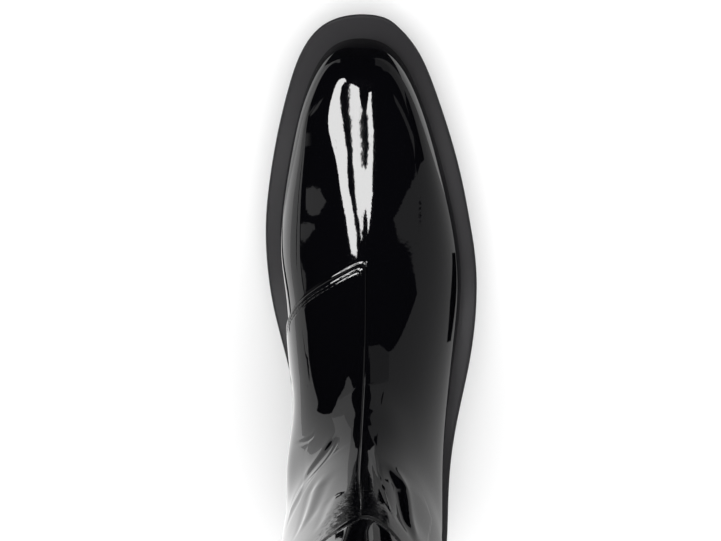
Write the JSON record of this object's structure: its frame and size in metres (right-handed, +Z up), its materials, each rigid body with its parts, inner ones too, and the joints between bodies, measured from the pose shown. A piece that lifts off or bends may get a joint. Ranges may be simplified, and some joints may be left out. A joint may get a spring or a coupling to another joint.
{
  "type": "thigh-high boot",
  "caption": "Right thigh-high pull-on boot: hollow glossy leather foot and shaft, rounded toe, moulded rubber sole with a wide flat margin and a low block heel.",
  "frame": {"origin": "on the floor, under the middle of the boot's box", "axes": "toe towards -Y, medial side towards +X, leg up along +Z"},
  "size_m": [0.1454, 0.29, 0.6962],
  "materials": {
    "sole_rubber": "matte",
    "sock": "matte",
    "upper_patent": "high gloss patent",
    "shaft_patent": "high gloss patent"
  },
  "bodies": {
    "root": {"outsole": "sole_rubber", "insole": "sock", "upper": "upper_patent", "shaft": "shaft_patent"}
  },
  "joints": []
}
